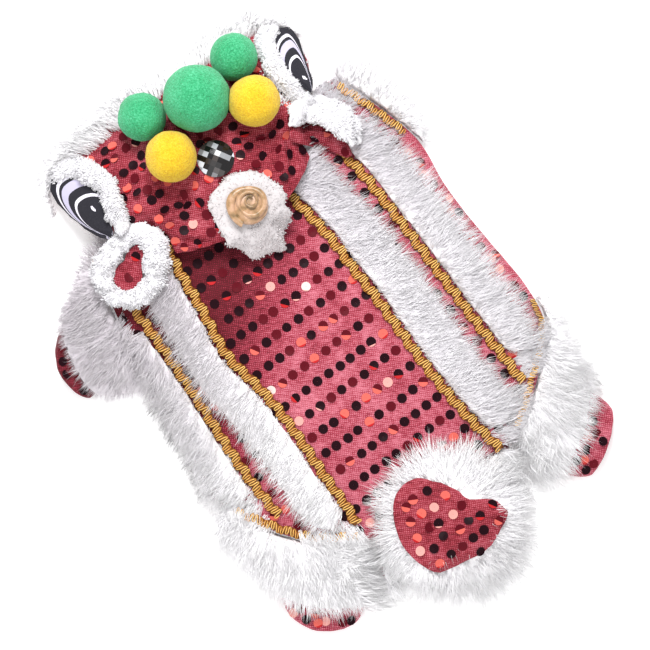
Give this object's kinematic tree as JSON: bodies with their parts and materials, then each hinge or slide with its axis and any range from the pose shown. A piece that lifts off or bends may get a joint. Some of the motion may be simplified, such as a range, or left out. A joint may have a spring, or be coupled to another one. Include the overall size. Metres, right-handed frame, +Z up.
{
  "type": "lion dance costume",
  "caption": "Lion dance costume for a small pet: a furred, sequinned four-legged suit laid flat, belly down, with a lion-face hat with pompoms on its neck end.",
  "frame": {"origin": "on the underside of the belly cloth, between the inner braids about halfway along the suit", "axes": "+Y from the tail to the hat, +Z up out of the surface that it lies on, +X to the right seen from above with the hat away from the viewer"},
  "size_m": [0.2676, 0.3763, 0.0721],
  "materials": {
    "red_cloth": "fine mesh weave over red cloth, soft sheen",
    "red_sequin": "red cloth sewn with dark red sequins",
    "white_fur": "long soft pile",
    "white_plush": "short curly pile",
    "gold_braid": "looped metallic thread",
    "green_yarn": "fuzzy cut yarn",
    "yellow_yarn": "fuzzy cut yarn",
    "smoky_stone": "glossy faceted resin",
    "gold_satin": "shiny satin cord",
    "eye_print": "printed satin"
  },
  "bodies": {
    "root": {"belly_cloth": "red_cloth", "back_cloth": "red_cloth", "rump_fur": "white_fur", "inner_fur_left": "white_fur", "inner_fur_right": "white_fur", "outer_fur_left": "white_fur", "outer_fur_right": "white_fur", "inner_braid_left": "gold_braid", "inner_braid_right": "gold_braid", "outer_braid_left": "gold_braid", "outer_braid_right": "gold_braid", "hem_braid_rear_left": "gold_braid", "hem_braid_rear_right": "gold_braid", "hem_braid_front_right": "gold_braid", "front_left_sleeve": "white_fur", "front_right_sleeve": "white_fur", "rear_left_sleeve": "white_fur", "rear_right_sleeve": "white_fur", "front_left_cuff": "red_sequin", "front_right_cuff": "red_sequin", "rear_left_cuff": "red_sequin", "rear_right_cuff": "red_sequin", "tail_fur": "white_fur", "tail_patch": "red_sequin", "hat_shell": "red_cloth", "hat_back_fur": "white_fur", "pompom_green_centre": "green_yarn", "pompom_green_left": "green_yarn", "pompom_green_right": "green_yarn", "pompom_yellow_left": "yellow_yarn", "pompom_yellow_right": "yellow_yarn", "forehead_mirror": "smoky_stone", "nose_patch": "white_plush", "nose_rosette": "gold_satin", "eye_left": "eye_print", "eye_right": "eye_print", "eyelid_plush_left": "white_plush", "eyelid_plush_right": "white_plush", "ear_left": "red_sequin", "ear_right": "red_sequin", "ear_plush_left": "white_plush", "ear_plush_right": "white_plush"}
  },
  "joints": []
}
